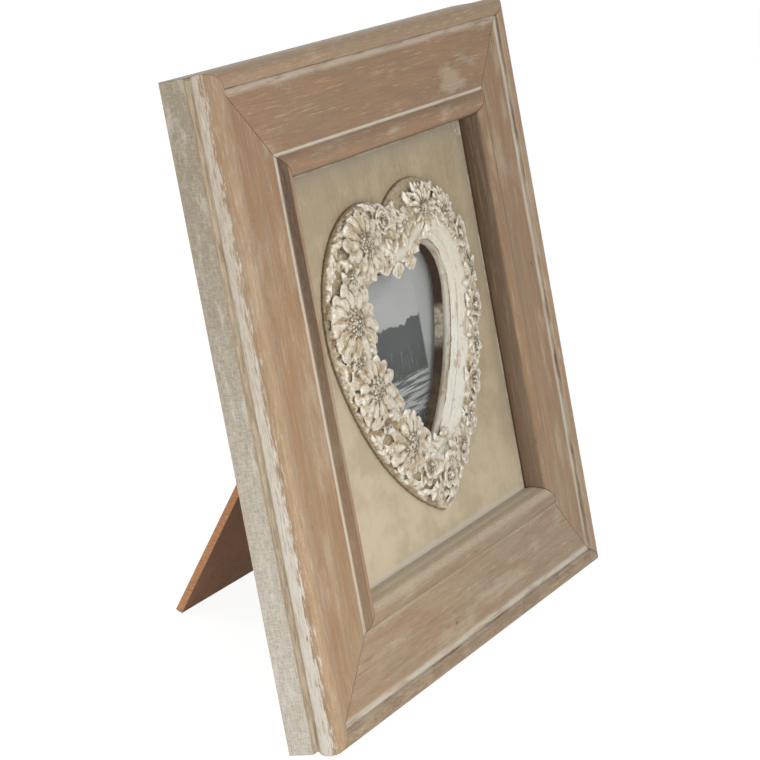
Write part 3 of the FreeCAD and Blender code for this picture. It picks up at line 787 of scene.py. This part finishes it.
def makeFlower(kind, radius, rng):
    shape = bmesh.new()
    if kind == "daisy":
        ringOfPetals(shape, rng, 13, radius * 0.25, radius * 0.90, radius * 0.47, 1.3, 0.5, 0.3, 0.8, pointed=0.25)
        ringOfPetals(shape, rng, 12, radius * 0.22, radius * 0.64, radius * 0.36, 1.2, 1.4, 0.2, 0.6, 0.5, 0.25)
        addDome(shape, rng, radius * 0.40, radius * 0.17, 1.7, 0.52, 52)
    elif kind == "aster":
        ringOfPetals(shape, rng, 19, radius * 0.15, radius * 0.90, radius * 0.27, 1.2, 0.4, 0.3, 0.7, pointed=0.5)
        ringOfPetals(shape, rng, 15, radius * 0.12, radius * 0.70, radius * 0.24, 1.2, 1.3, 0.7, 0.6, 0.5, 0.5)
        addDome(shape, rng, radius * 0.22, radius * 0.14, 1.9, 0.45, 18)
    elif kind == "rosette":
        ringOfPetals(shape, rng, 7, radius * 0.10, radius * 0.98, radius * 0.74, 1.2, 0.5, 0.6, -0.5, pointed=0.2)
        ringOfPetals(shape, rng, 6, radius * 0.05, radius * 0.66, radius * 0.52, 1.2, 1.5, 0.9, -0.3, 0.4, 0.2)
        addDome(shape, rng, radius * 0.22, radius * 0.14, 2.1, 0.45, 10)
    elif kind == "rosebud":
        for layer, (size, lift) in enumerate([(0.95, 0.2), (0.66, 1.2), (0.36, 2.1)]):
            ringOfPetals(shape, rng, 5 - layer, 0.0, radius * size, radius * size * 0.95, 1.2, lift, 1.2, -0.4,
                         0.3 * layer)
    elif kind == "fan":
        ringOfPetals(shape, rng, 10, radius * 0.05, radius * 1.0, radius * 0.32, 1.2, 0.5, 0.4, 0.7, 0.5, 0.3,
                     first=-100, sweep=200)
        ringOfPetals(shape, rng, 8, radius * 0.02, radius * 0.7, radius * 0.28, 1.2, 1.5, 0.7, 0.5, 0.5, 0.3,
                     first=-90, sweep=180)
        ringOfPetals(shape, rng, 5, 0.0, radius * 0.75, radius * 0.40, 1.2, 0.8, 0.4, 0.5, 0.5, 0.4, first=105,
                     sweep=150)
    else:
        ringOfPetals(shape, rng, 5, radius * 0.02, radius * 1.08, radius * 0.52, 1.0, 0.6, 0.5, -0.4, 0.5, 0.8, 0.14)
        ringOfPetals(shape, rng, 4, 0.0, radius * 0.72, radius * 0.42, 1.0, 1.5, 0.6, -0.3, 0.2, 0.7, 0.1)
        addDome(shape, rng, radius * 0.16, radius * 0.14, 1.9, 0.45, 5)
    return shape


def seatMatrix(share, inset, height, tilt, spin):
    point, out = heartPoint(share, inset)
    outward = Vector((out.x, out.y, 0))
    front = Vector((0, 0, 1))
    along = front.cross(outward)
    axes = Matrix((outward, along, front)).transposed().to_4x4()
    place = Matrix.Translation((point.x, point.y, framePlace["panelFront"] + height))
    return place @ axes @ Matrix.Rotation(math.radians(tilt), 4, "Y") @ Matrix.Rotation(spin, 4, "Z")


def traceOutline():
    count = heartLook["outlinePoints"]
    finder, ways = KDTree(count), []
    for index in range(count):
        point, out = heartPoint(index / count, 0.0)
        finder.insert((point.x, point.y, 0.0), index)
        ways.append((point, out))
    finder.balance()
    return finder, ways


outline, outlineWays = traceOutline()


def joinInto(shape, piece, place):  # nothing reaches past the casting's outline
    bmesh.ops.transform(piece, matrix=place, verts=piece.verts)
    for vert in piece.verts:
        point, out = outlineWays[outline.find((vert.co.x, vert.co.y, 0.0))[1]]
        past = (vert.co.xy - point).dot(out) + heartLook["edgeGap"]
        if past > 0:
            vert.co.x -= out.x * past
            vert.co.y -= out.y * past
            vert.co.z -= 0.4 * min(past, 3.0)
    mesh = meshFrom(piece, "part")
    shape.from_mesh(mesh)
    bpy.data.meshes.remove(mesh)


def addLeaf(shape, rng, share, inset, height, length, spin, tilt):
    piece = bmesh.new()
    place = Matrix.Rotation(rng.uniform(-0.12, 0.12), 4, "X") @ Matrix.Translation((-length / 2, 0, 0))
    addPetal(piece, place, length, length * rng.uniform(0.45, 0.60), 1.5, rng.uniform(-0.3, 0.7),
             rng.choice((-0.5, 0.6, 0.6)), rng.uniform(0.6, 1.0), 0.18)
    joinInto(shape, piece, seatMatrix(share, inset, height, tilt, spin))


def baseHeight(inset):
    top = heartLook["section"][1:-1]
    for (first, low), (last, high) in zip(top, top[1:]):
        if inset < last:
            return low + (high - low) * (inset - first) / max(last - first, 0.001)
    return top[-1][1]


def addFiller(shape, rng):  # leaves between the flowers, along the rim, and over the inner edge on the left half
    for index in range(heartLook["leaves"]):
        share = (index + rng.uniform(0.1, 0.9)) / heartLook["leaves"]
        leftSide = 0.47 < share or share < 0.03
        inset = rng.uniform(4.5, 24.5 if leftSide else 17.5)
        height = max(baseHeight(inset), 4.1) + rng.uniform(0.0, 0.9)
        length, spin, tilt = rng.uniform(6.5, 10.5), rng.uniform(0, 6.28), rng.uniform(0, 12)
        point = heartPoint(share, inset)[0]
        if any((point - heartPoint(*flower[:2])[0]).length < flower[2] * 0.7 for flower in flowers
               if flower[4] in ("daisy", "aster")):
            continue
        addLeaf(shape, rng, share, inset, height, length, spin, tilt)
    for index in range(heartLook["rimLeaves"]):
        share = (index + rng.uniform(0.1, 0.9)) / heartLook["rimLeaves"]
        if 0.03 < share < 0.10:
            continue
        length = rng.uniform(5.0, 8.0)
        spin = rng.choice((90, 270)) + rng.uniform(-38, 38)
        inset = rng.uniform(0.9, 4.0)
        addLeaf(shape, rng, share, inset, 1.2 + 0.62 * inset + rng.uniform(0, 0.5), length, math.radians(spin), 36)
    for share, inset, height, length, spin in heartLook["edgeLeaves"]:
        addLeaf(shape, rng, share, inset, height, length, math.radians(spin), -4)


def buildHeart():
    look = heartLook
    rng = random.Random(look["seed"])
    shape = bmesh.new()
    addRing(shape)
    for share, inset, radius, tilt, kind, seat in flowers:
        spin = 0.0 if kind == "fan" else rng.uniform(0, 6.28)
        joinInto(shape, makeFlower(kind, radius, rng), seatMatrix(share, inset, seat, tilt, spin))
    addFiller(shape, rng)
    piece = addObject("castHeart", meshFrom(shape, "castHeart"))
    remesh = piece.modifiers.new("merge", "REMESH")
    remesh.mode = "VOXEL"
    remesh.voxel_size = look["grainSize"]
    applyModifiers(piece)
    smoothHeart(piece)
    thin = piece.modifiers.new("thin", "DECIMATE")
    thin.use_collapse_triangulate = True
    thin.ratio = min(1.0, look["triangles"] / (2 * len(piece.data.polygons)))
    applyModifiers(piece)
    print("cast heart:", len(piece.data.vertices), "points,", len(piece.data.polygons), "faces")
    return piece


def applyModifiers(piece):
    old = piece.data
    made = bpy.data.meshes.new_from_object(piece.evaluated_get(bpy.context.evaluated_depsgraph_get()))
    piece.modifiers.clear()
    piece.data = made
    bpy.data.meshes.remove(old)
    made.name = piece.name
    made.validate()


def soften(shape, factor):
    bmesh.ops.smooth_vert(shape, verts=shape.verts, factor=factor, use_axis_x=True, use_axis_y=True, use_axis_z=True)


def smoothHeart(piece):  # softens the grid, then notes how far each point stands out of its surroundings
    shape = bmesh.new()
    shape.from_mesh(piece.data)
    soften(shape, 0.4)
    shape.normal_update()
    for vert in shape.verts:
        vert.co += vert.normal * fractal(vert.co * 0.55, 0.8, 2.2, 3) * heartLook["unevenness"]
    shape.normal_update()
    places = [vert.co.copy() for vert in shape.verts]
    normals = [vert.normal.copy() for vert in shape.verts]
    for step in range(heartLook["softening"]):
        soften(shape, 0.7)
    relief = [(place - vert.co).dot(normal) for place, vert, normal in zip(places, shape.verts, normals)]
    centres = [heartPoint(flower[0], flower[1])[0] for flower in flowers]
    bloom, seat, track = [], [], []
    for vert, place in zip(shape.verts, places):
        vert.co = place
        gaps = [(place.x - centre.x) ** 2 + (place.y - centre.y) ** 2 - flower[2] ** 2
                for centre, flower in zip(centres, flowers)]
        nearest = gaps.index(min(gaps))
        fromCentre = Vector((place.x, place.y)) - centres[nearest]
        bloom.extend((fromCentre.x, fromCentre.y, nearest))
        index, inset = outline.find((place.x, place.y, 0.0))[1:]
        track.extend((index * heartLook["outlineStep"], inset, place.z))
        proud = place.z - framePlace["panelFront"] - baseHeight(inset)
        seat.extend((inset, proud, fromCentre.length / flowers[nearest][2]))
    bmesh.ops.transform(shape, matrix=frameMatrix(), verts=shape.verts)
    for face in shape.faces:
        face.smooth = True
    shape.to_mesh(piece.data)
    shape.free()
    piece.data.attributes.new("relief", "FLOAT", "POINT").data.foreach_set("value", relief)
    for name, values in (("bloom", bloom), ("track", track), ("seat", seat)):
        piece.data.attributes.new(name, "FLOAT_VECTOR", "POINT").data.foreach_set("vector", values)


# Casting finish: pale silver on the high places, tan between, brown in the hollows

castingLook = {
    "crevice": shade(72, 57, 40),
    "low": shade(132, 113, 87),
    "tan": shade(178, 158, 126),
    "mid": shade(207, 197, 176),
    "high": shade(238, 234, 224),
    "bevel": shade(216, 212, 200),
    "rim": shade(92, 76, 57),
}


def noted(shader, name, output="Vector"):  # what smoothHeart wrote down for each point
    return put(shader.id_data, "ShaderNodeAttribute", attribute_name=name).outputs[output]


def silveredCasting():
    look = castingLook
    material, shader, place = newMaterial("silveredCasting", {"Specular IOR Level": 0.5})
    relief, track = noted(shader, "relief", "Fac"), noted(shader, "track")
    besideX, besideY, flower = split(noted(shader, "bloom"))
    inset, proud, span = split(noted(shader, "seat"))
    turn = maths("ARCTAN2", besideY, besideX)
    away = maths("SQRT", plus(times(besideX, besideX), times(besideY, besideY)))
    rays = combine(times(turn, 13.0), times(away, 0.16), times(flower, 7.0))
    streak = noise(rays, 1.0, 5.0, 0.75)
    patch = noise(place, 0.22, 4.0, 0.65)
    speck = noise(place, 1.0, 5.0, 0.8)
    level = plus(relief, times(minus(speck, 0.5), 0.55), times(minus(streak, 0.5), 0.70))
    colour = coat(look["mid"], look["tan"], fade(patch, 0.46, 0.58))
    colour = coat(colour, look["low"], fade(level, -0.02, -0.16))
    colour = coat(colour, look["crevice"], fade(level, -0.14, -0.34))
    colour = coat(colour, look["high"], fade(level, 0.06, 0.26, 0.0, 0.9))

    # Dark dots between the grains of each flower's middle
    middle = fade(span, 0.44, 0.36)
    colour = coat(colour, look["crevice"], middle, fade(cells(place, 0.95), 0.42, 0.62), fade(proud, 1.0, 2.0), 0.8)

    # The bare ground is brown, but the bevel at the opening is silver with darker streaks along it
    bare = fade(proud, 0.75, 0.25)
    ground = coat(look["low"], look["tan"], fade(speck, 0.4, 0.6))
    colour = coat(colour, ground, bare, 0.8)
    onBevel = times(bare, fade(inset, 16.0, 18.5))
    streaks = grained(track, (0.05, 0.55, 0.3), 5.0, 0.75)
    bevelTone = coat(look["bevel"], look["mid"], fade(streaks, 0.50, 0.40, 0.0, 0.8))
    bevelTone = coat(bevelTone, look["low"], fade(streaks, 0.38, 0.33, 0.0, 0.9))
    scar = grained(track, (0.07, 0.22, 0.2), 4.0, 0.6, (9, 4, 1))
    bevelTone = coat(bevelTone, look["tan"], fade(scar, 0.60, 0.64, 0.0, 0.75))
    bevelTone = coat(bevelTone, look["mid"], fade(split(place)[2], 128.0, 152.0), fade(speck, 0.42, 0.58, 0.1, 0.8))
    wander = plus(inset, fade(scar, 0.3, 0.7, -0.15, 0.15))
    greyed = fade(streaks, 0.35, 0.6, 0.75, 0.35)
    bevelTone = coat(bevelTone, look["low"], fade(wander, 25.2, 25.7), greyed)
    broken = fade(scar, 0.42, 0.54, 0.15, 0.8)
    bevelTone = coat(bevelTone, look["crevice"], stripe(wander, 25.5, 0.08, 0.22), broken)
    bevelTone = coat(bevelTone, look["low"], stripe(wander, 22.7, 0.06, 0.25), broken, 0.6)
    colour = coat(colour, bevelTone, onBevel)
    low = fade(split(track)[2], framePlace["panelFront"] + 1.5, framePlace["panelFront"] + 0.7)
    colour = coat(colour, look["rim"], low, fade(inset, 2.4, 1.2), fade(speck, 0.3, 0.7, 0.95, 0.6))
    feed(shader, {"Base Color": colour, "Metallic": fade(level, -0.05, 0.15, 0.0, 0.25),
                  "Roughness": fade(speck, 0.3, 0.7, 0.34, 0.58)})
    bumps = plus(times(speck, 0.6), times(streak, fade(proud, 0.4, 1.0)))
    addBump(shader, bumps, 0.0004, 0.8)
    return material


castHeart = buildHeart()
castHeart.data.materials.append(silveredCasting())
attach(castHeart, "frame")
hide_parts("heart_surround")

# Camera, floor and light

stageLook = {
    "camera": (-1.018996, -0.433844, 0.446514),
    "turn": (72.7417, -7.1349, -64.7393),
    "lens": 137.78,
    "floor": (0.86, 0.86, 0.855, 1.0),
    "floorSize": 4.0,
    "floorGlow": 1.16,
    "glowShare": 0.80,
    "skyLight": 0.42,
    "aim": (0, 0, 0.12),
    "lamps": [  # name, place, size, power
        ("key", (0.05, -1.05, 1.05), 1.1, 5.2),
        ("fill", (-0.62, -0.48, 0.12), 0.5, 3.4),
        ("rear", (-0.5, 1.3, 0.9), 1.0, 7.0),
    ],
}


def areaLamp(name, place, size, power):
    lamp = bpy.data.lights.new(name, "AREA")
    lamp.shape = "DISK"
    lamp.size = size
    lamp.energy = power
    holder = addObject(name, lamp)
    holder.location = place
    aim = Vector(stageLook["aim"]) - Vector(place)
    holder.rotation_euler = aim.to_track_quat("-Z", "Y").to_euler()


def seenDirectly(tree):  # 1 for the camera, mirrors and glass
    path = put(tree, "ShaderNodeLightPath").outputs
    return maths("MAXIMUM", path["Is Camera Ray"], path["Is Glossy Ray"], path["Is Transmission Ray"])


def buildStage():
    look = stageLook
    camera = bpy.data.cameras.new("Camera")
    camera.lens = look["lens"]
    camera.sensor_width = 36.0
    camera.clip_end = 50.0
    holder = addObject("Camera", camera)
    holder.location = look["camera"]
    holder.rotation_euler = [math.radians(angle) for angle in look["turn"]]
    bpy.context.scene.camera = holder

    shape = bmesh.new()
    bmesh.ops.create_grid(shape, x_segments=2, y_segments=2, size=look["floorSize"])
    floor = addObject("floor", meshFrom(shape, "floor"))
    material = bpy.data.materials.new("paleFloor")
    tree = blankTree(material)
    matt = put(tree, "ShaderNodeBsdfDiffuse", {"Color": look["floor"]})
    glow = put(tree, "ShaderNodeEmission", {"Color": (1, 1, 1, 1), "Strength": look["floorGlow"]})
    half = times(seenDirectly(tree), look["glowShare"])
    mixed = put(tree, "ShaderNodeMixShader", {0: half, 1: matt.outputs[0], 2: glow.outputs[0]})
    put(tree, "ShaderNodeOutputMaterial", {"Surface": mixed.outputs[0]})
    floor.data.materials.append(material)

    world = bpy.data.worlds.new("studio")
    tree = blankTree(world)
    strength = maths("MAXIMUM", look["skyLight"], seenDirectly(tree))
    glow = put(tree, "ShaderNodeBackground", {"Color": (1, 1, 1, 1), "Strength": strength})
    put(tree, "ShaderNodeOutputWorld", {"Surface": glow.outputs[0]})
    bpy.context.scene.world = world
    for lamp in look["lamps"]:
        areaLamp(*lamp)
    bpy.context.scene.view_settings.view_transform = "Standard"


buildStage()
print("camera, floor and light")
